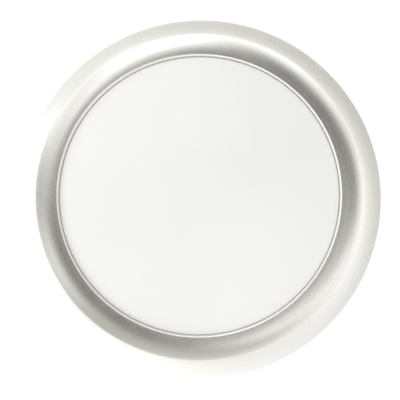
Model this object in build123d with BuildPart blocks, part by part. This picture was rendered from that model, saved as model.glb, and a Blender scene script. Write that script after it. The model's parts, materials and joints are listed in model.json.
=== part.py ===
"""Lazy susan turntable: a spun aluminium tray with a white inlaid deck, turning on a pressed
steel ball swivel that is screwed to a smaller spun aluminium base with six rubber feet.

Millimetres, +Z up. The origin is on the axis of rotation, on the surface that the feet stand on.
Sheet parts are drawn as the middle line of the sheet in the XZ plane (X is the radius) and
traced to the sheet's thickness, then revolved.
"""

from math import acos, cos, degrees, radians, sin
import os

from build123d import *

# ---------------------------------------------------------------- driving dimensions
tray_radius = 152.5  # outside of the curled edge
tray_sheet = 1.5
deck_radius = 116.5
deck_thickness = 3.0
deck_edge_round = 0.7
rim_rise = 3.2  # the tray's inner edge stands this far above the deck
band_angles = (9.0, -11.5)  # slope at the band's inner and outer end; a positive slope rises outwards
crease_circle = 135.2  # where the band breaks down into the lip
crease_radius = 5.0
lip_angles = (-17.0, -29.0)  # the lip falls outwards to the curled edge
curl_radius = 1.95  # middle line of the curled edge
curl_turn = 240.0

ball_radius = 3.0
ball_count = 12
track_radius = 70.0  # pitch circle of the balls
groove_play = 0.05  # between each ball and each race
swivel_sheet = 1.2

base_radius = 98.0
base_sheet = 1.2
foot_count = 6
foot_circle = 85.5
foot_stand_off = 2.0  # the rubber holds the base pan this far off the surface

screw_count = 6
screw_circle = 42.0
screw_radius = 2.0
shank_play = 0.05

foam_thickness = 2.0
pivot_radius = 4.0
pivot_play = 0.06

# ---------------------------------------------------------------- heights, from the ground up
base_top = 16.0
ball_plane = base_top + 5.0
swivel_top = 2 * ball_plane - base_top
floor_top = swivel_top + tray_sheet
deck_bottom = floor_top + foam_thickness
deck_top = deck_bottom + deck_thickness
rim_top = deck_top + rim_rise
base_underside = base_top - base_sheet
lower_hub_top = base_top + swivel_sheet
upper_hub_bottom = swivel_top - swivel_sheet

# ---------------------------------------------------------------- details
recess_gap = 0.1  # round the deck
heel_radius = 3.25
recess_bend = 1.1
tray_centre_hole = 11.0
land_gap = 3.0  # between the two swivel plates beside the balls
groove_clearance = 0.15  # groove radius over ball radius
groove_mouth_bend = 0.9
joggle_start = 56.0
joggle_bend = 2.5
joggle_angle = 40.0
lower_edge = 77.0
dust_lip_radius = 80.0
dust_lip_bend = 1.6
dust_lip_end = base_top + 1.2
collar_radius = 3.5
collar_height = 2.0
bush_radius = 5.2
bush_flange = 8.0
bush_flange_height = 1.0
plate_bore_play = 0.05
skirt_angle = 76.0
base_shoulder = 5.0
base_hem_bend = 2.0
base_hem_width = 2.0
foot_ring_sheet = 1.5
foot_ring_width = 15.5
foot_ring_gap = 0.3
foot_radius = 7.5
foot_stem = 3.4
stem_play = 0.1

screw_spots = PolarLocations(screw_circle, screw_count)
base_screw_spots = PolarLocations(screw_circle, screw_count, start_angle=180 / screw_count)

os.makedirs("parts", exist_ok=True)


def save(builder, name):
    """Labels a finished piece and writes it as its own node."""
    builder.part.label = name
    export_step(builder.part, f"parts/{name}.step")


def ahead(edge, length):
    """A straight run that carries on from the end of an edge."""
    return Line(edge @ 1, edge @ 1 + (edge % 1) * length)


def bend(edge, radius, turn):
    """An arc that carries on from the end of an edge; a positive turn is anticlockwise."""
    return JernArc(edge @ 1, edge % 1, radius, turn)


def roll(edge, end_radius, slopes):
    """A wide arc that carries on to a given radius, from one slope to another, steeper down."""
    entry, end = slopes
    reach = end_radius - (edge @ 1).X
    return bend(edge, reach / (sin(radians(entry)) - sin(radians(end))), end - entry)


# ================================================================ turntable: what spins
def make_tray_pan():
    """The dish: flat floor, recess for the deck, crowned band, falling lip and curled edge."""
    mid = floor_top - tray_sheet / 2
    step_radius = deck_radius + recess_gap + tray_sheet / 2
    curl_centre = tray_radius - tray_sheet / 2 - curl_radius
    lip_end = curl_centre - curl_radius * sin(radians(lip_angles[1]))
    with BuildPart() as tray_pan:
        with BuildSketch(Plane.XZ):
            with BuildLine() as path:
                floor = Line((tray_centre_hole, mid), (step_radius - heel_radius, mid))
                heel = bend(floor, heel_radius, 90)
                step = ahead(heel, rim_top - tray_sheet / 2 - recess_bend - (heel @ 1).Y)
                mouth = bend(step, recess_bend, band_angles[0] - 90)
                band = roll(mouth, crease_circle, band_angles)
                crease = bend(band, crease_radius, lip_angles[0] - band_angles[1])
                lip = roll(crease, lip_end, lip_angles)
                bend(lip, curl_radius, -curl_turn)
            trace(path.line, tray_sheet)
        revolve(axis=Axis.Z)
        with BuildSketch(Plane.XY.offset(swivel_top)):
            with screw_spots:
                Circle(screw_radius + 0.2)
        extrude(amount=tray_sheet, mode=Mode.SUBTRACT)
    return tray_pan


def make_deck_plate():
    """The white plate that things stand on, dropped into the tray's recess."""
    with BuildPart() as deck_plate:
        with BuildSketch(Plane.XY.offset(deck_bottom)):
            Circle(deck_radius)
        extrude(amount=deck_thickness)
        fillet(deck_plate.edges().group_by(Axis.Z)[-1], deck_edge_round)
        chamfer(deck_plate.edges().group_by(Axis.Z)[0], 0.4)
    return deck_plate


def make_deck_foam():
    """Double-sided foam tape that holds the deck down: one ring and six round pads."""
    ring_outer, ring_inner = 113.0, 98.0
    pad_circle, pad_radius = 68.0, 11.0
    with BuildPart() as deck_foam_ring:
        with BuildSketch(Plane.XY.offset(floor_top)):
            Circle(ring_outer)
            Circle(ring_inner, mode=Mode.SUBTRACT)
        extrude(amount=foam_thickness)
    with BuildPart() as deck_foam_pads:
        with BuildSketch(Plane.XY.offset(floor_top)):
            with PolarLocations(pad_circle, 6):
                Circle(pad_radius)
        extrude(amount=foam_thickness)
    return deck_foam_ring, deck_foam_pads


def cross_recess(size, depth, plane):
    """The cutter for a cross recess, sunk below a plane that lies on the screw head."""
    with BuildPart() as cutter:
        with BuildSketch(plane):
            Rectangle(size, size / 4)
            Rectangle(size / 4, size)
        extrude(amount=-depth, taper=12)
    return cutter.part


def make_tray_screws():
    """Low wafer-head machine screws, put in from above before the deck is bonded down."""
    head_radius, head_height = 4.5, 1.4
    tip = upper_hub_bottom - collar_height - 0.4
    with BuildPart() as one:
        with BuildSketch(Plane.XY.offset(floor_top)):
            Circle(head_radius)
        extrude(amount=head_height)
        fillet(one.edges().group_by(Axis.Z)[-1], head_height / 2)
        add(cross_recess(4.4, 1.0, Plane.XY.offset(floor_top + head_height)), mode=Mode.SUBTRACT)
        with BuildSketch(Plane.XY.offset(tip)):
            Circle(screw_radius - shank_play)
        extrude(amount=floor_top - tip)
        chamfer(one.edges().group_by(Axis.Z)[0], 0.5)
    with BuildPart() as tray_screws:
        with screw_spots:
            add(one.part)
    return tray_screws


# ================================================================ swivel plates and bearing
def race_path(side, inner, outer, lip=False):
    """Middle line of a swivel plate. side is 1 for the lower plate and -1 for the upper one."""
    hub = ball_plane - side * (ball_plane - base_top - swivel_sheet / 2)
    land = ball_plane - side * (land_gap / 2 + swivel_sheet / 2)
    groove = ball_radius + groove_clearance + swivel_sheet / 2
    groove_floor = ball_plane - side * (ball_radius + groove_play + swivel_sheet / 2)
    round_sum = groove + groove_mouth_bend
    sweep = degrees(acos(1 - abs(groove_floor - land) / round_sum))
    groove_half = round_sum * sin(radians(sweep))
    joggle_height = abs(land - hub) - 2 * joggle_bend * (1 - cos(radians(joggle_angle)))

    flat = Line((inner, hub), (joggle_start, hub))
    rise = bend(flat, joggle_bend, side * joggle_angle)
    slope = ahead(rise, joggle_height / sin(radians(joggle_angle)))
    level = bend(slope, joggle_bend, -side * joggle_angle)
    shore = ahead(level, track_radius - groove_half - (level @ 1).X)
    entry = bend(shore, groove_mouth_bend, -side * sweep)
    bed = bend(entry, groove, 2 * side * sweep)
    leave = bend(bed, groove_mouth_bend, -side * sweep)
    if not lip:
        return ahead(leave, outer - (leave @ 1).X)
    shelf = ahead(leave, outer - dust_lip_bend - (leave @ 1).X)
    turn = bend(shelf, dust_lip_bend, -90)
    return ahead(turn, (turn @ 1).Y - dust_lip_end)


def make_lower_swivel_plate():
    """Fixed plate: flat hub zone on the base, joggled up to a pressed ball groove."""
    with BuildPart() as lower_swivel_plate:
        with BuildSketch(Plane.XZ):
            with BuildLine() as path:
                race_path(1, bush_radius + plate_bore_play, lower_edge)
            trace(path.line, swivel_sheet)
        revolve(axis=Axis.Z)
        with BuildSketch(Plane.XY.offset(lower_hub_top)):
            with base_screw_spots:
                Circle(collar_radius)
        extrude(amount=collar_height)
        with BuildSketch(Plane.XY.offset(base_top)):
            with base_screw_spots:
                Circle(screw_radius)
        extrude(amount=swivel_sheet + collar_height, mode=Mode.SUBTRACT)
    return lower_swivel_plate


def make_upper_swivel_plate():
    """Turning plate: the same pressing upside down, with an outer lip that keeps dust out."""
    with BuildPart() as upper_swivel_plate:
        with BuildSketch(Plane.XZ):
            with BuildLine() as path:
                race_path(-1, pivot_radius + plate_bore_play, dust_lip_radius, lip=True)
            trace(path.line, swivel_sheet)
        revolve(axis=Axis.Z)
        with BuildSketch(Plane.XY.offset(upper_hub_bottom - collar_height)):
            with screw_spots:
                Circle(collar_radius)
        extrude(amount=collar_height)
        with BuildSketch(Plane.XY.offset(upper_hub_bottom - collar_height)):
            with screw_spots:
                Circle(screw_radius)
        extrude(amount=swivel_sheet + collar_height, mode=Mode.SUBTRACT)
    return upper_swivel_plate


def make_ball_cage():
    """Nylon ring that spaces the balls: a collared pocket for each, and slots between them."""
    half_width, half_height = 5.5, 1.0
    pocket = ball_radius + 0.2
    slot_length, slot_width = 15.0, 4.0
    with BuildPart() as ball_cage:
        with BuildSketch(Plane.XY.offset(ball_plane - half_height)):
            Circle(track_radius + half_width)
            Circle(track_radius - half_width, mode=Mode.SUBTRACT)
            with PolarLocations(track_radius, ball_count, start_angle=180 / ball_count):
                SlotOverall(slot_length, slot_width, rotation=90, mode=Mode.SUBTRACT)
        extrude(amount=2 * half_height)
        with BuildSketch(Plane.XY.offset(ball_plane - half_height - 0.2)):
            with PolarLocations(track_radius, ball_count):
                Circle(pocket + 1.2)
        extrude(amount=2 * half_height + 0.4)
        with BuildSketch(Plane.XY.offset(ball_plane - 2 * half_height)):
            with PolarLocations(track_radius, ball_count):
                Circle(pocket)
        extrude(amount=4 * half_height, mode=Mode.SUBTRACT)
    return ball_cage


def make_balls():
    """The bearing balls, each a piece of its own because each one rolls."""
    balls = []
    for place in PolarLocations(track_radius, ball_count).local_locations:
        with BuildPart() as ball:
            with Locations(place.position + Vector(0, 0, ball_plane)):
                Sphere(ball_radius)
        balls.append(ball)
    return balls


# ================================================================ pivot
pivot_head_height = 1.8
shoulder_end = base_underside - 1.35
washer_thickness = 1.2
thread_radius = 3.0
nut_height = 6.0


def make_pivot_bolt():
    """Shoulder bolt on the axis: low head on the upper plate, threaded end under the base."""
    head_radius = 8.0
    thread_end = shoulder_end - washer_thickness - nut_height - 0.8
    with BuildPart() as pivot_bolt:
        with BuildSketch(Plane.XY.offset(swivel_top)):
            Circle(head_radius)
        extrude(amount=pivot_head_height)
        fillet(pivot_bolt.edges().group_by(Axis.Z)[-1], 0.9)
        with BuildSketch(Plane.XY.offset(swivel_top + pivot_head_height)):
            RegularPolygon(2.5, 6, major_radius=False)
        extrude(amount=-1.2, mode=Mode.SUBTRACT)
        with BuildSketch(Plane.XY.offset(shoulder_end)):
            Circle(pivot_radius)
        extrude(amount=swivel_top - shoulder_end)
        with BuildSketch(Plane.XY.offset(thread_end)):
            Circle(thread_radius)
        extrude(amount=shoulder_end - thread_end)
        chamfer(pivot_bolt.edges().group_by(Axis.Z)[0], 0.6)
    return pivot_bolt


def make_pivot_bush():
    """Flanged nylon bush in the fixed plates, which the bolt's shoulder turns in."""
    with BuildPart() as pivot_bush:
        with BuildSketch(Plane.XY.offset(base_underside)):
            Circle(bush_radius)
        extrude(amount=lower_hub_top - base_underside)
        with BuildSketch(Plane.XY.offset(lower_hub_top)):
            Circle(bush_flange)
        extrude(amount=bush_flange_height)
        fillet(pivot_bush.edges().group_by(Axis.Z)[-1], 0.3)
        with BuildSketch(Plane.XY.offset(base_underside)):
            Circle(pivot_radius + pivot_play)
        extrude(amount=10, mode=Mode.SUBTRACT)
    return pivot_bush


def make_washer(bottom, thickness, inner, outer, edge):
    """A plain round washer with broken edges."""
    with BuildPart() as washer:
        with BuildSketch(Plane.XY.offset(bottom)):
            Circle(outer)
            Circle(inner, mode=Mode.SUBTRACT)
        extrude(amount=thickness)
        rims = washer.edges().filter_by(GeomType.CIRCLE).sort_by(SortBy.RADIUS)[-2:]
        chamfer(rims, edge)
    return washer


def make_pivot_nut():
    """Self-locking hexagon nut: hexagon below the washer, then a round nylon-insert collar."""
    flats = 5.0
    hexagon_height = 4.4
    top = shoulder_end - washer_thickness
    with BuildPart() as pivot_nut:
        with BuildSketch(Plane.XY.offset(top)):
            RegularPolygon(flats, 6, major_radius=False)
        extrude(amount=-hexagon_height)
        with BuildSketch(Plane.XZ):
            with BuildLine():
                corner = flats / cos(radians(30))
                Polyline(
                    (0, top),
                    (flats, top),
                    (corner + 0.1, top - 0.45),
                    (corner + 0.1, top - hexagon_height + 0.45),
                    (flats, top - hexagon_height),
                    (0, top - hexagon_height),
                    close=True,
                )
            make_face()
        revolve(axis=Axis.Z, mode=Mode.INTERSECT)
        with BuildSketch(Plane.XY.offset(top - hexagon_height)):
            Circle(flats - 0.5)
        extrude(amount=hexagon_height - nut_height)
        fillet(pivot_nut.edges().group_by(Axis.Z)[0], 0.6)
        with BuildSketch(Plane.XY.offset(top)):
            Circle(thread_radius + shank_play)
        extrude(amount=-nut_height, mode=Mode.SUBTRACT)
    return pivot_nut


# ================================================================ base: what stays still
def make_base_pan():
    """Upturned dish: flat top, rounded shoulder, flared skirt and a narrow hem turned inwards."""
    top_mid = base_top - base_sheet / 2
    hem_mid = foot_stand_off + base_sheet / 2
    slant = radians(skirt_angle)
    outer_mid = base_radius - base_sheet / 2
    skirt_drop = (top_mid - base_shoulder * (1 - cos(slant))) - (
        hem_mid + base_hem_bend * (1 + cos(slant))
    )
    skirt_end = outer_mid - base_hem_bend * (1 - sin(slant))
    flat_end = skirt_end - skirt_drop / (sin(slant) / cos(slant)) - base_shoulder * sin(slant)
    with BuildPart() as base_pan:
        with BuildSketch(Plane.XZ):
            with BuildLine() as path:
                flat = Line((bush_radius + plate_bore_play, top_mid), (flat_end, top_mid))
                shoulder = bend(flat, base_shoulder, -skirt_angle)
                skirt = ahead(shoulder, skirt_drop / sin(slant))
                hem = bend(skirt, base_hem_bend, skirt_angle - 180)
                ahead(hem, base_hem_width)
            trace(path.line, base_sheet)
        revolve(axis=Axis.Z)
        with BuildSketch(Plane.XY.offset(base_underside)):
            with base_screw_spots:
                Circle(screw_radius + 0.2)
        extrude(amount=base_sheet, mode=Mode.SUBTRACT)
    return base_pan


def make_foot_ring():
    """Flat steel ring that lies on the base pan's hem and carries the rubber feet."""
    bottom = foot_stand_off + base_sheet
    outer = base_radius - base_sheet / 2 - base_hem_bend - foot_ring_gap
    with BuildPart() as foot_ring:
        with BuildSketch(Plane.XY.offset(bottom)):
            Circle(outer)
            Circle(outer - foot_ring_width, mode=Mode.SUBTRACT)
            with PolarLocations(foot_circle, foot_count):
                Circle(foot_stem + stem_play, mode=Mode.SUBTRACT)
        extrude(amount=foot_ring_sheet)
        chamfer(foot_ring.edges().group_by(Axis.Z)[-1].sort_by(SortBy.RADIUS)[-2:], 0.2)
    return foot_ring


def make_base_screws():
    """Pan-head machine screws, put in from below, and a split lock washer under each head."""
    washer_height, head_height, head_radius = 1.0, 2.6, 3.9
    head_top = base_underside - washer_height
    tip = lower_hub_top + collar_height + 0.4
    with BuildPart() as screw:
        with BuildSketch(Plane.XY.offset(head_top - head_height)):
            Circle(head_radius)
        extrude(amount=head_height)
        fillet(screw.edges().group_by(Axis.Z)[0], 1.3)
        head_face = Plane.XY.offset(head_top - head_height).rotated((180, 0, 0))
        add(cross_recess(4.4, 1.6, head_face), mode=Mode.SUBTRACT)
        with BuildSketch(Plane.XY.offset(head_top)):
            Circle(screw_radius - shank_play)
        extrude(amount=tip - head_top)
        chamfer(screw.edges().group_by(Axis.Z)[-1], 0.5)
    with BuildPart() as lock:
        with BuildSketch(Plane.XY.offset(head_top)):
            Circle(3.5)
            Circle(screw_radius + 0.1, mode=Mode.SUBTRACT)
            with Locations((3, 0)):
                Rectangle(4, 0.6, rotation=18, mode=Mode.SUBTRACT)
        extrude(amount=washer_height)
    with BuildPart() as base_screws:
        with base_screw_spots:
            add(screw.part)
    with BuildPart() as base_lock_washers:
        with base_screw_spots:
            add(lock.part)
    return base_screws, base_lock_washers


def make_feet():
    """Push-in rubber feet: a ringed pad, a stem through the foot ring and a barb above it."""
    pad_top = foot_stand_off + base_sheet
    barb_bottom = pad_top + foot_ring_sheet + 0.1
    feet = []
    for place in PolarLocations(foot_circle, foot_count).local_locations:
        with BuildPart() as foot:
            with BuildSketch(Plane.XZ):
                with BuildLine():
                    Polyline(
                        (0, 0),
                        (foot_radius - 0.8, 0),
                        (foot_radius, 0.5),
                        (foot_radius - 0.3, pad_top),
                        (foot_stem, pad_top),
                        (foot_stem, barb_bottom),
                        (foot_stem + 1.0, barb_bottom),
                        (foot_stem - 0.9, barb_bottom + 2.4),
                        (0, barb_bottom + 2.4),
                        close=True,
                    )
                make_face()
            revolve(axis=Axis.Z)
            with BuildSketch(Plane.XY):
                for ring in (2.2, 4.4):
                    Circle(ring + 0.5)
                    Circle(ring - 0.1, mode=Mode.SUBTRACT)
            extrude(amount=0.5, mode=Mode.SUBTRACT)
        foot.part.position = place.position
        feet.append(foot)
    return feet


# ================================================================ write every piece
save(make_tray_pan(), "tray_pan")
save(make_deck_plate(), "deck_plate")
for builder, name in zip(make_deck_foam(), ("deck_foam_ring", "deck_foam_pads")):
    save(builder, name)
save(make_tray_screws(), "tray_screws")
save(make_upper_swivel_plate(), "upper_swivel_plate")
save(make_pivot_bolt(), "pivot_bolt")
save(
    make_washer(shoulder_end - washer_thickness, washer_thickness, thread_radius + 0.2, 9.0, 0.2),
    "pivot_washer",
)
save(make_pivot_nut(), "pivot_nut")

save(make_ball_cage(), "ball_cage")
for number, ball in enumerate(make_balls(), start=1):
    save(ball, f"ball_{number:02d}")

save(make_lower_swivel_plate(), "lower_swivel_plate")
save(make_pivot_bush(), "pivot_bush")
save(make_washer(base_underside - 1.25, 1.25, pivot_radius + 0.3, 9.5, 0.2), "thrust_washer")
save(make_base_pan(), "base_pan")
save(make_foot_ring(), "foot_ring")
for builder, name in zip(make_base_screws(), ("base_screws", "base_lock_washers")):
    save(builder, name)
for number, foot in enumerate(make_feet(), start=1):
    save(foot, f"foot_{number}")
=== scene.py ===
"""Looks of the lazy susan turntable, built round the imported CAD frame.

Metres, +Z up, in the CAD's own frame. Round sheet parts are turned on a lathe: the middle line of
the sheet is drawn run by run in the (radius, height) plane, given its thickness and revolved.
"""

import json
import math

import bmesh
import bpy
from mathutils import Matrix, Vector


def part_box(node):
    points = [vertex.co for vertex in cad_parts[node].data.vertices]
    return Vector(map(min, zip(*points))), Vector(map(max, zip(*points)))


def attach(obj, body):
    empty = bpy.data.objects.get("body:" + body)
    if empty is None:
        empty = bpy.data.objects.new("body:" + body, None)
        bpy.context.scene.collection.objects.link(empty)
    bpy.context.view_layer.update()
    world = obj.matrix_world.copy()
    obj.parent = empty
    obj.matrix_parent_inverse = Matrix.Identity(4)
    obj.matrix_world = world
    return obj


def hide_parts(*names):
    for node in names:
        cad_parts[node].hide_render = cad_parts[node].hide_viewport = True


MM = 0.001
SCREW_CIRCLE = 42 * MM  # the tray screws and, half a step round, the base screws
SCREW_HOLE = 2.2 * MM

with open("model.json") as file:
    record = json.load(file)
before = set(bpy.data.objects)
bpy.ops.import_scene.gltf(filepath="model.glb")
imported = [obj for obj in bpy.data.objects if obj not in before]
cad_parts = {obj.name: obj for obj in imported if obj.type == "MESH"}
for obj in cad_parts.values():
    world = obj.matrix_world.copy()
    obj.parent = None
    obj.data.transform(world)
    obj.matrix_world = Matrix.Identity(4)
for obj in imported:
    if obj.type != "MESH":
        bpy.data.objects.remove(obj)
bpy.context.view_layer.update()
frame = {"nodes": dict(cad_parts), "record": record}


# ---------------------------------------------------------------- mesh helpers
def new_piece(name, bm, material, body, replaces=(), sharp_deg=35):
    """Turns a bmesh into a smooth-shaded piece that rides on a body and stands for CAD nodes."""
    bmesh.ops.recalc_face_normals(bm, faces=bm.faces)
    for face in bm.faces:
        face.smooth = True
    limit = math.radians(sharp_deg)
    for edge in bm.edges:
        edge.smooth = len(edge.link_faces) == 2 and edge.calc_face_angle(0) < limit
    mesh = bpy.data.meshes.new(name)
    bm.to_mesh(mesh)
    bm.free()
    piece = bpy.data.objects.new(name, mesh)
    bpy.context.scene.collection.objects.link(piece)
    mesh.materials.append(material)
    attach(piece, body)
    if replaces:
        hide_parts(*replaces)
    return piece


class Sheet:
    """Middle line of a bent sheet in the (radius, height) plane, drawn from run to run."""

    def __init__(self, radius, height, heading=0.0):
        self.heading = math.radians(heading)
        self.stations = [(radius, height, self.heading)]

    @property
    def radius(self):
        return self.stations[-1][0]

    @property
    def height(self):
        return self.stations[-1][1]

    def ahead(self, length, runs=1):
        """A straight run of that length, cut into equal pieces."""
        for _ in range(runs):
            r, z, a = self.stations[-1]
            step = length / runs
            self.stations.append((r + step * math.cos(a), z + step * math.sin(a), a))
        return self

    def bend(self, bend_radius, turn, every=4.0):
        """An arc; a positive turn is anticlockwise. One station every few degrees."""
        count = max(2, math.ceil(abs(turn) / every))
        r, z, a = self.stations[-1]
        side = math.copysign(1.0, turn)
        centre_r = r - side * bend_radius * math.sin(a)
        centre_z = z + side * bend_radius * math.cos(a)
        for i in range(1, count + 1):
            b = a + math.radians(turn) * i / count
            self.stations.append(
                (
                    centre_r + side * bend_radius * math.sin(b),
                    centre_z - side * bend_radius * math.cos(b),
                    b,
                )
            )
        return self

    def roll(self, end_radius, slope, every=0.5):
        """A wide arc that carries on to a given radius, where it has that slope in degrees."""
        end = math.radians(slope)
        start_sine = math.sin(self.stations[-1][2])
        bend_radius = (end_radius - self.radius) / abs(math.sin(end) - start_sine)
        return self.bend(bend_radius, slope - math.degrees(self.stations[-1][2]), every)

    def outline(self, thickness, edge=0.3):
        """The closed outline of the sheet, with its two cut edges rounded."""
        half = thickness / 2
        sides = []
        for side in (-1, 1):
            sides.append(
                [
                    (r - side * half * math.sin(a), z + side * half * math.cos(a))
                    for r, z, a in self.stations
                ]
            )
        lower, upper = sides
        return (
            lower
            + self._cap(self.stations[-1], 1, half, edge * thickness)
            + upper[::-1]
            + self._cap(self.stations[0], -1, half, edge * thickness)
        )

    @staticmethod
    def _cap(station, way, half, round_radius):
        """Points round one cut edge, pulled back so that the sheet keeps its length."""
        r, z, a = station
        along = Vector((math.cos(a), math.sin(a))) * way
        across = Vector((-math.sin(a), math.cos(a))) * way
        points = []
        for corner in (-1, 1):
            for i in range(5):
                turn = math.radians(90) * i / 4
                if corner < 0:
                    out, off = math.sin(turn), math.cos(turn)
                else:
                    out, off = math.cos(turn), math.sin(turn)
                side = corner * (half - round_radius + round_radius * off)
                p = Vector((r, z)) + along * round_radius * (out - 1) + across * side
                points.append((p.x, p.y))
        return points


def lathe(outline, segments=360, bm=None, centre=(0, 0), closed=True):
    """Revolves a closed (radius, height) outline round the vertical line through centre."""
    bm = bm or bmesh.new()
    cx, cy = centre
    rings = []
    for r, z in outline:
        if r < 1e-7:
            rings.append([bm.verts.new((cx, cy, z))])
            continue
        turn = 2 * math.pi / segments
        rings.append(
            [
                bm.verts.new((cx + r * math.cos(i * turn), cy + r * math.sin(i * turn), z))
                for i in range(segments)
            ]
        )
    pairs = list(zip(rings, rings[1:] + rings[:1])) if closed else list(zip(rings, rings[1:]))
    for one, two in pairs:
        if len(one) == 1 and len(two) == 1:
            continue
        for i in range(segments):
            j = (i + 1) % segments
            if len(one) == 1:
                bm.faces.new((one[0], two[i], two[j]))
            elif len(two) == 1:
                bm.faces.new((one[i], one[j], two[0]))
            else:
                bm.faces.new((one[i], one[j], two[j], two[i]))
    return bm


def rounded(corners, steps=5):
    """An outline in metres from (radius, height, rounding) corners in millimetres."""
    outline = []
    for i, (r, z, rounding) in enumerate(corners):
        here = Vector((r, z))
        if not rounding:
            outline.append((r * MM, z * MM))
            continue
        before = (Vector(corners[i - 1][:2]) - here).normalized()
        after = (Vector(corners[(i + 1) % len(corners)][:2]) - here).normalized()
        half = before.angle(after) / 2
        centre = here + (before + after).normalized() * rounding / math.sin(half)
        start = here + before * rounding / math.tan(half) - centre
        sweep = math.copysign(math.pi - 2 * half, before.y * after.x - before.x * after.y)
        for k in range(steps + 1):
            a = sweep * k / steps
            x = start.x * math.cos(a) - start.y * math.sin(a)
            y = start.x * math.sin(a) + start.y * math.cos(a)
            outline.append(((centre.x + x) * MM, (centre.y + y) * MM))
    return outline


def ring_spots(radius, count, start_deg=0.0):
    """Evenly spaced (x, y) places on a circle."""
    turns = [math.radians(start_deg + 360 * i / count) for i in range(count)]
    return [(radius * math.cos(a), radius * math.sin(a)) for a in turns]


def pierce(bm, spots, radius, low, high, segments=48):
    """Cuts upright holes through a bmesh from one height to another, one at each (x, y)."""
    tool = bmesh.new()
    for x, y in spots:
        place = Matrix.Translation((x, y, (low + high) / 2))
        bmesh.ops.create_cone(tool, cap_ends=True, segments=segments, radius1=radius, radius2=radius,
                              depth=high - low, matrix=place)
    things = []
    for source in (bm, tool):
        bmesh.ops.recalc_face_normals(source, faces=source.faces)
        mesh = bpy.data.meshes.new("cutting")
        source.to_mesh(mesh)
        source.free()
        things.append(bpy.data.objects.new("cutting", mesh))
        bpy.context.scene.collection.objects.link(things[-1])
    modifier = things[0].modifiers.new("holes", "BOOLEAN")
    modifier.operation, modifier.solver, modifier.object = "DIFFERENCE", "EXACT", things[1]
    whole = things[0].evaluated_get(bpy.context.evaluated_depsgraph_get())
    result = bmesh.new()
    result.from_mesh(whole.to_mesh())
    whole.to_mesh_clear()
    for thing in things:
        mesh = thing.data
        bpy.data.objects.remove(thing)
        bpy.data.meshes.remove(mesh)
    return result


# ---------------------------------------------------------------- node helpers
class Nodes:
    """Short ways to add and join shader nodes."""

    def __init__(self, tree):
        self.tree = tree
        tree.nodes.clear()

    def add(self, kind, *inputs, **settings):
        """A node; each input is a constant or an output socket, in socket order (None skips one)."""
        node = self.tree.nodes.new(kind)
        for key, value in settings.items():
            setattr(node, key, value)
        for socket, value in zip(node.inputs, inputs):
            self.feed(socket, value)
        return node

    def feed(self, socket, value):
        if value is None:
            return
        if isinstance(value, bpy.types.NodeSocket):
            self.tree.links.new(value, socket)
        else:
            socket.default_value = value

    def math(self, operation, *inputs):
        return self.add("ShaderNodeMath", *inputs, operation=operation).outputs[0]

    def plus(self, first, second, share):
        """first + second * share."""
        return self.math("ADD", first, self.math("MULTIPLY", second, share))

    def ramp(self, value, low, high, to_low=0.0, to_high=1.0, smooth=False):
        node = self.add("ShaderNodeMapRange", value, low, high, to_low, to_high)
        node.interpolation_type = "SMOOTHSTEP" if smooth else "LINEAR"
        return node.outputs[0]

    def blend(self, share, colour_a, colour_b):
        node = self.add("ShaderNodeMix", data_type="RGBA")
        self.feed(node.inputs["Factor"], share)
        self.feed(node.inputs["A"], colour_a)
        self.feed(node.inputs["B"], colour_b)
        return node.outputs["Result"]


def shiny(name, **constants):
    """A material with one Principled shader. Returns the material, its nodes and the shader."""
    material = bpy.data.materials.new(name)
    material.use_nodes = True
    nodes = Nodes(material.node_tree)
    shader = nodes.add("ShaderNodeBsdfPrincipled")
    output = nodes.add("ShaderNodeOutputMaterial")
    nodes.tree.links.new(shader.outputs[0], output.inputs[0])
    for key, value in constants.items():
        shader.inputs[key].default_value = value
    return material, nodes, shader


def spin_place(nodes):
    """Object coordinates, and the same as distance from the axis, height and angle round it."""
    place = nodes.add("ShaderNodeTexCoord").outputs["Object"]
    split = nodes.add("ShaderNodeSeparateXYZ", place)
    x, y = split.outputs["X"], split.outputs["Y"]
    radius = nodes.math("SQRT", nodes.plus(nodes.math("MULTIPLY", x, x), y, y))
    return place, radius, split.outputs["Z"], nodes.math("ARCTAN2", y, x)


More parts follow.
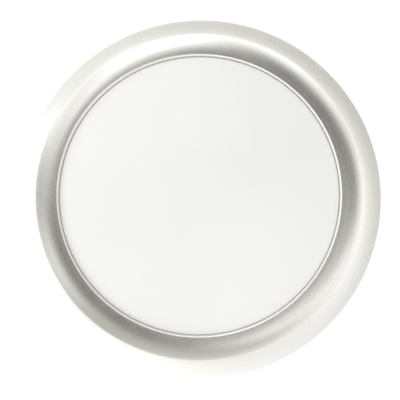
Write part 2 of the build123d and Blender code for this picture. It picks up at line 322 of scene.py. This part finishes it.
def spun_metal(name, roughness):
    """Metal turned on a lathe: fine rings in bump and roughness, with broad faint stains."""
    tone = (0.90, 0.895, 0.88)
    fine_rings, broad_rings = 1 / (0.35 * MM), 260.0  # per metre
    bump_depth = 0.02 * MM
    material, nodes, shader = shiny(name, Metallic=1.0, Anisotropic=0.45)
    place, radius, height, angle = spin_place(nodes)

    def ringed(per_metre, along, detail, grain):
        """Noise that is stretched into rings round the axis."""
        stretched = nodes.add(
            "ShaderNodeCombineXYZ",
            nodes.math("MULTIPLY", radius, per_metre),
            nodes.math("MULTIPLY", height, per_metre),
            nodes.math("MULTIPLY", angle, along),
        )
        noise = nodes.add("ShaderNodeTexNoise", stretched.outputs[0], None, 1.0, detail, grain)
        return noise.outputs[0]

    rings = ringed(fine_rings, 1.2, 3.0, 0.6)
    bands = ringed(broad_rings, 0.8, 2.0, 0.5)
    cloud = nodes.add("ShaderNodeTexNoise", place, None, 22.0, 3.0, 0.55).outputs[0]
    shade = nodes.math("MULTIPLY", nodes.ramp(nodes.plus(bands, rings, 0.6), 0.5, 1.1), 0.6)
    warm = tuple(c * k for c, k in zip(tone, (1.0, 0.99, 0.965))) + (1.0,)
    cool = tuple(c * k for c, k in zip(tone, (0.955, 0.962, 0.965))) + (1.0,)
    stained = nodes.blend(nodes.ramp(cloud, 0.35, 0.7), tone + (1.0,), warm)
    nodes.feed(shader.inputs["Base Color"], nodes.blend(shade, stained, cool))
    gloss = nodes.plus(rings, cloud, 0.5)
    rough = nodes.ramp(gloss, 0.45, 1.05, roughness - 0.035, roughness + 0.045)
    nodes.feed(shader.inputs["Roughness"], rough)
    tangent = nodes.add("ShaderNodeTangent", direction_type="RADIAL", axis="Z")
    nodes.feed(shader.inputs["Tangent"], tangent.outputs[0])
    shader.inputs["Anisotropic Rotation"].default_value = 0.25
    bump = nodes.add("ShaderNodeBump", 0.35, bump_depth)
    nodes.feed(bump.inputs["Height"], nodes.plus(rings, bands, 0.5))
    nodes.feed(shader.inputs["Normal"], bump.outputs[0])
    return material


def white_gloss(name):
    """Glossy white sheet: faint waviness, hairline scratches in the gloss, a slightly warm white."""
    material, nodes, shader = shiny(name, **{"IOR": 1.49, "Specular IOR Level": 0.5})
    place = nodes.add("ShaderNodeTexCoord").outputs["Object"]
    cloud = nodes.add("ShaderNodeTexNoise", place, None, 14.0, 3.0, 0.5).outputs[0]
    fine = nodes.add("ShaderNodeTexNoise", place, None, 900.0, 2.0, 0.5).outputs[0]
    cream, white = (0.86, 0.86, 0.85, 1), (0.885, 0.885, 0.88, 1)
    nodes.feed(shader.inputs["Base Color"], nodes.blend(nodes.ramp(cloud, 0.3, 0.7), cream, white))
    hair = nodes.add("ShaderNodeTexWave", place, 26.0, 22.0, 2.0, 1.2, wave_type="BANDS")
    scratch = nodes.ramp(hair.outputs["Fac"], 0.97, 1.0, 0.0, 0.06)
    rough = nodes.math("ADD", scratch, nodes.ramp(cloud, 0.3, 0.7, 0.16, 0.22))
    nodes.feed(shader.inputs["Roughness"], rough)
    bump = nodes.add("ShaderNodeBump", 0.15, 0.01 * MM)
    nodes.feed(bump.inputs["Height"], nodes.plus(cloud, fine, 0.2))
    nodes.feed(shader.inputs["Normal"], bump.outputs[0])
    return material


def mottled(name, colour_a, colour_b, roughness, metallic=0.0, grain=180.0, bump_mm=0.02, **constants):
    """A plain material with a fine grain: plated steel, moulded nylon, rubber or foam."""
    material, nodes, shader = shiny(name, Metallic=metallic, **constants)
    place = nodes.add("ShaderNodeTexCoord").outputs["Object"]
    coarse = nodes.add("ShaderNodeTexNoise", place, None, grain, 4.0, 0.6).outputs[0]
    fine = nodes.add("ShaderNodeTexNoise", place, None, grain * 9, 2.0, 0.5).outputs[0]
    share = nodes.ramp(coarse, 0.35, 0.65)
    nodes.feed(shader.inputs["Base Color"], nodes.blend(share, colour_a + (1.0,), colour_b + (1.0,)))
    rough = nodes.ramp(fine, 0.3, 0.7, roughness * 0.85, roughness * 1.15)
    nodes.feed(shader.inputs["Roughness"], rough)
    bump = nodes.add("ShaderNodeBump", 0.3, bump_mm * MM)
    nodes.feed(bump.inputs["Height"], nodes.plus(coarse, fine, 0.5))
    nodes.feed(shader.inputs["Normal"], bump.outputs[0])
    return material


aluminium = spun_metal("spun_aluminium", 0.26)
base_aluminium = spun_metal("spun_base_aluminium", 0.28)
deck_white = white_gloss("gloss_white")
zinc = mottled(
    "bright_zinc", (0.60, 0.61, 0.63), (0.70, 0.71, 0.72), 0.30, metallic=1.0, grain=90.0
)
chrome = mottled(
    "polished_steel", (0.70, 0.71, 0.73), (0.76, 0.77, 0.78), 0.10, metallic=1.0, bump_mm=0.002
)
nylon = mottled("moulded_nylon", (0.80, 0.78, 0.71), (0.85, 0.83, 0.77), 0.45, grain=120.0)
rubber = mottled(
    "moulded_rubber", (0.035, 0.035, 0.036), (0.055, 0.055, 0.055), 0.75, grain=400.0, bump_mm=0.05
)
foam = mottled(
    "closed_cell_foam", (0.62, 0.62, 0.60), (0.74, 0.74, 0.72), 0.9, grain=900.0, bump_mm=0.15
)
finishes = {
    "satin_aluminium": aluminium,
    "white_acrylic": deck_white,
    "zinc_steel": zinc,
    "bearing_steel": chrome,
    "natural_nylon": nylon,
    "grey_rubber": rubber,
    "foam_tape": foam,
}
for entry in frame["record"]["subparts"]:
    cad_node = frame["nodes"][entry["node"]]
    cad_node.data.materials.clear()
    cad_node.data.materials.append(finishes[entry["material_slot"]])


# ---------------------------------------------------------------- turntable
def make_tray():
    """The spun dish: floor, recess for the deck, crowned band, falling lip and curled edge."""
    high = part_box("tray_pan")[1]
    deck_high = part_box("deck_plate")[1]
    floor_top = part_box("deck_foam_ring")[0].z
    sheet = 1.5 * MM
    curl_radius, heel, mouth, crease = 1.95 * MM, 3.25 * MM, 1.1 * MM, 5.0 * MM
    step_radius = deck_high.x + 0.1 * MM + sheet / 2
    rim_top = deck_high.z + 3.2 * MM
    lip_end = high.x - sheet / 2 - curl_radius + curl_radius * math.sin(math.radians(29))
    path = Sheet(11.0 * MM, floor_top - sheet / 2)
    path.ahead(step_radius - heel - path.radius, runs=6).bend(heel, 90)
    path.ahead(rim_top - sheet / 2 - mouth - path.height).bend(mouth, 9 - 90)
    path.roll(135.2 * MM, -11.5).bend(crease, -5.5, every=1.5).roll(lip_end, -29)
    path.bend(curl_radius, -240.0, every=8.0)
    holes = ring_spots(SCREW_CIRCLE, 6)
    bm = pierce(lathe(path.outline(sheet)), holes, SCREW_HOLE, floor_top - 2.5 * MM, floor_top + MM)
    return new_piece("tray", bm, aluminium, "turntable", replaces=["tray_pan"])


def make_deck():
    """The white deck, its top edge rounded."""
    low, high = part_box("deck_plate")
    round_top, break_low = 0.7 * MM, 0.4 * MM
    outline = [(0, low.z)]
    outline += [(high.x * k, low.z) for k in (0.25, 0.5, 0.75, 0.95)]
    outline += [(high.x - break_low, low.z), (high.x, low.z + break_low)]
    for i in range(9):
        a = math.radians(90) * i / 8
        in_by, down_by = round_top * (1 - math.cos(a)), round_top * (1 - math.sin(a))
        outline.append((high.x - in_by, high.z - down_by))
    outline += [(high.x * k, high.z) for k in (0.98, 0.75, 0.5, 0.25)]
    outline += [(0, high.z)]
    return new_piece("deck", lathe(outline, closed=False), deck_white, "turntable",
                     replaces=["deck_plate"])


def make_foam():
    """The foam tape under the deck: a ring and six round pads, their sides slightly rounded."""
    low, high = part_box("deck_foam_ring")
    bottom, top = low.z / MM, high.z / MM
    inner, outer, side = 98.0, high.x / MM, 0.5
    ring = rounded(
        [(inner, bottom, side), (outer, bottom, side), (outer, top, side), (inner, top, side)]
    )
    piece = new_piece("foam_ring", lathe(ring), foam, "turntable",
                      replaces=["deck_foam_ring"])
    pads = bmesh.new()
    pad = rounded([(0, bottom, 0), (11.0, bottom, side), (11.0, top, side), (0, top, 0)])
    for spot in ring_spots(68 * MM, 6):
        lathe(pad, segments=96, bm=pads, centre=spot, closed=False)
    piece = new_piece("foam_pads", pads, foam, "turntable", replaces=["deck_foam_pads"])


def make_pivot_bolt():
    """The shoulder bolt: domed head with a hexagon socket, ground shoulder and a cut M6 thread."""
    low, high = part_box("pivot_bolt")
    bottom, top = low.z / MM, high.z / MM
    under_head, shoulder_end, pitch, depth = top - 1.8, bottom + 8.0, 1.0, 0.30
    outline = [(0, bottom), (2.4, bottom)]
    outline += [(3.0, bottom + 0.6 + 0.1 * i) for i in range(70)]
    outline += [(3.0, shoulder_end), (3.7, shoulder_end), (4.0, shoulder_end + 0.3), (4.0, under_head)]
    outline = [(r * MM, z * MM) for r, z in outline]
    outline += rounded([(8.0, under_head, 0.2), (8.0, top, 0.9), (0, top, 0)])
    bm = lathe(outline, segments=96, closed=False)
    for vert in bm.verts:
        radius = math.hypot(vert.co.x, vert.co.y)
        height = vert.co.z / MM
        if radius > 2.9 * MM and height < shoulder_end - 0.5:
            turns = height / pitch - math.atan2(vert.co.y, vert.co.x) / (2 * math.pi)
            groove = 1 - abs(2 * (turns % 1) - 1)
            fade = min(1, (shoulder_end - 0.5 - height) / 0.8)
            shrink = 1 - depth * MM * groove * fade / radius
            vert.co.x *= shrink
            vert.co.y *= shrink
    hex_corner = 2.5 / math.cos(math.radians(30)) * MM
    bm = pierce(bm, [(0, 0)], hex_corner, (top - 1.2) * MM, (top + 1) * MM, 6)
    return new_piece("shoulder_bolt", bm, zinc, "turntable", replaces=["pivot_bolt"])


# ---------------------------------------------------------------- base
def make_base():
    """The base pan: flat top, rounded shoulder, flared skirt and the narrow hem turned inwards."""
    low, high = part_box("base_pan")
    sheet, slant_deg = 1.2 * MM, 76.0
    slant = math.radians(slant_deg)
    shoulder, hem, hem_width = 5.0 * MM, 2.0 * MM, 2.0 * MM
    top_mid, hem_mid = high.z - sheet / 2, low.z + sheet / 2
    drop = (top_mid - shoulder * (1 - math.cos(slant))) - (hem_mid + hem * (1 + math.cos(slant)))
    skirt_end = high.x - sheet / 2 - hem * (1 - math.sin(slant))
    flat_end = skirt_end - drop / math.tan(slant) - shoulder * math.sin(slant)
    path = Sheet(5.25 * MM, top_mid)
    path.ahead(flat_end - path.radius, runs=6).bend(shoulder, -slant_deg)
    path.ahead(drop / math.sin(slant), runs=3).bend(hem, slant_deg - 180).ahead(hem_width)
    holes = ring_spots(SCREW_CIRCLE, 6, 30.0)
    bm = pierce(lathe(path.outline(sheet)), holes, SCREW_HOLE, high.z - 2.5 * MM, high.z + MM)
    return new_piece("base", bm, base_aluminium, "base", replaces=["base_pan"])


def make_feet():
    """Six moulded rubber feet: a pad with two ring grooves, a stem and a barb."""
    outline = rounded([
        (0, 0, 0), (2.1, 0, 0.12), (2.1, 0.5, 0.1), (2.7, 0.5, 0.1), (2.7, 0, 0.12),
        (4.3, 0, 0.12), (4.3, 0.5, 0.1), (4.9, 0.5, 0.1), (4.9, 0, 0.12),
        (6.7, 0, 0.3), (7.5, 0.5, 0.35), (7.2, 3.2, 0.3), (3.4, 3.2, 0.1),
        (3.4, 4.8, 0.1), (4.4, 4.8, 0.2), (2.5, 7.2, 0.4), (0, 7.2, 0),
    ])
    for number in range(1, 7):
        low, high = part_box(f"foot_{number}")
        centre = ((low.x + high.x) / 2, (low.y + high.y) / 2)
        bm = lathe(outline, segments=128, centre=centre, closed=False)
        new_piece(f"rubber_foot_{number}", bm, rubber, "base",
                  replaces=[f"foot_{number}"])


make_tray()
make_deck()
make_foam()
make_pivot_bolt()
make_base()
make_feet()


# ---------------------------------------------------------------- stage, light, camera
def make_floor():
    """A white floor just under the feet, which glows a little so that it stays white."""
    mesh = bpy.data.meshes.new("floor")
    half = 6.0
    below = -0.3 * MM
    corners = [(-half, -half, below), (half, -half, below), (half, half, below), (-half, half, below)]
    mesh.from_pydata(corners, [], [(0, 1, 2, 3)])
    floor = bpy.data.objects.new("floor", mesh)
    bpy.context.scene.collection.objects.link(floor)
    material, _, shader = shiny("floor_white", Roughness=0.9)
    shader.inputs["Base Color"].default_value = (0.85, 0.85, 0.85, 1)
    shader.inputs["Emission Color"].default_value = (1, 1, 1, 1)
    shader.inputs["Emission Strength"].default_value = 0.5
    mesh.materials.append(material)


def direction(azimuth, from_zenith):
    """Unit vector; azimuth in degrees anticlockwise from +X, seen from above."""
    a, t = math.radians(azimuth), math.radians(from_zenith)
    return Vector((math.cos(a) * math.sin(t), math.sin(a) * math.sin(t), math.cos(t)))


def make_world():
    """A procedural sky that the metal mirrors, with plain white where the camera sees past all."""
    darkest, level = 0.03, 0.93
    warm, neutral = (1.0, 0.965, 0.85, 1), (1.0, 1.0, 0.995, 1)
    world = bpy.data.worlds.new("studio")
    bpy.context.scene.world = world
    world.use_nodes = True
    nodes = Nodes(world.node_tree)
    ray = nodes.add("ShaderNodeTexCoord").outputs["Generated"]
    height = nodes.add("ShaderNodeSeparateXYZ", ray).outputs["Z"]

    def lobe(azimuth, from_zenith, inner, outer):
        """1 inside a cone, falling to 0 at a wider cone."""
        axis = tuple(direction(azimuth, from_zenith))
        dot = nodes.add("ShaderNodeVectorMath", ray, axis, operation="DOT_PRODUCT").outputs["Value"]
        edge, core = math.cos(math.radians(outer)), math.cos(math.radians(inner))
        return nodes.ramp(dot, edge, core, smooth=True)

    # azimuth, angle from the zenith, inner and outer half-angle, brightness (negative is dark).
    # A separate fitting script made these values and the two levels of the height ramp below.
    # report.md lists them as a rule that this script breaks.
    # They weren't set by hand.
    lobes = [
        (222, 6, 34, 108, 2.95),
        (173, 49, 6, 35, 1.2),
        (213, 14, 0, 29, 2.2),
        (85, 28, 0, 31, 2.2),
        (123, 35, 10, 26, 2.1),
        (344, 12, 6, 17, 2.3),
        (155, 17, 22, 49, -2.6),
        (88, 20, 5, 41, -1.5),
        (289, 23, 11, 44, -0.6),
    ]
    total = nodes.ramp(height, 0.0, 0.57, 0.2, -1.3, smooth=True)
    for azimuth, from_zenith, inner, outer, strength in lobes:
        total = nodes.plus(total, lobe(azimuth, from_zenith, inner, outer), strength)
    strength = nodes.math("MULTIPLY", nodes.math("MAXIMUM", total, darkest), level)
    tint = nodes.blend(nodes.ramp(strength, 0.3, 1.1), warm, neutral)
    sky = nodes.add("ShaderNodeBackground", tint, strength)
    plain = nodes.add("ShaderNodeBackground", (1, 1, 1, 1), 1.0)
    seen = nodes.add("ShaderNodeLightPath").outputs["Is Camera Ray"]
    mix = nodes.add("ShaderNodeMixShader", seen, sky.outputs[0], plain.outputs[0])
    output = nodes.add("ShaderNodeOutputWorld")
    nodes.tree.links.new(mix.outputs[0], output.inputs[0])


def make_fill():
    """A soft box at the left that lights matt surfaces only: the metal doesn't mirror it."""
    centre, aim, side, power = (-0.42, -0.22, 0.38), (-0.05, -0.02, 0.03), 0.4, 0.9
    data = bpy.data.lights.new("fill", "AREA")
    data.shape, data.size, data.size_y, data.energy = "RECTANGLE", side, side, power
    lamp = bpy.data.objects.new("fill", data)
    lamp.location = centre
    lamp.rotation_euler = (Vector(aim) - Vector(centre)).to_track_quat("-Z", "Y").to_euler()
    lamp.visible_glossy = False
    bpy.context.scene.collection.objects.link(lamp)


def make_camera():
    """Nearly straight above the tray, a little to the front and right; +Y is up in the picture."""
    field_of_view = math.radians(46.05)
    data = bpy.data.cameras.new("camera")
    data.sensor_width = 36.0
    data.lens = data.sensor_width / 2 / math.tan(field_of_view / 2)
    camera = bpy.data.objects.new("camera", data)
    camera.location = (0.0144, -0.0513, 0.420)
    camera.rotation_euler = (math.radians(6.46), math.radians(1.88), 0.0)
    bpy.context.scene.collection.objects.link(camera)
    bpy.context.scene.camera = camera


make_floor()
make_world()
make_fill()
make_camera()
bpy.context.scene.view_settings.view_transform = "Standard"
